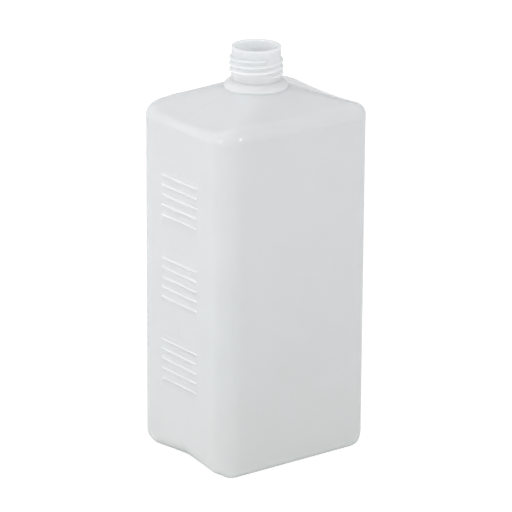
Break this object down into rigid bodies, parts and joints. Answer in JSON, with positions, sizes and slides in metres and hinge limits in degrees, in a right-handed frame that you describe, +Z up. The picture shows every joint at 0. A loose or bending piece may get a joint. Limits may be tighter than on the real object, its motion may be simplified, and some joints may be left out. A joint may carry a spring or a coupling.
{
  "type": "plastic bottle",
  "caption": "Empty rectangular one-litre dispenser bottle in natural polyethylene, with a hipped shoulder, an open screw neck and grip ribs on its narrow sides.",
  "frame": {"origin": "on the ground plane under the feet, in the middle of the bottle, on the neck's axis", "axes": "+Z up along the neck's axis, out of the mouth; X along the wide sides, Y along the narrow ones; the mould halves meet in the plane Y = 0"},
  "size_m": [0.093, 0.072, 0.208],
  "materials": {
    "natural_polyethylene": "satin, milky white and slightly see-through, uncoloured blown polyethylene"
  },
  "bodies": {
    "root": {"bottle": "natural_polyethylene"}
  },
  "joints": []
}
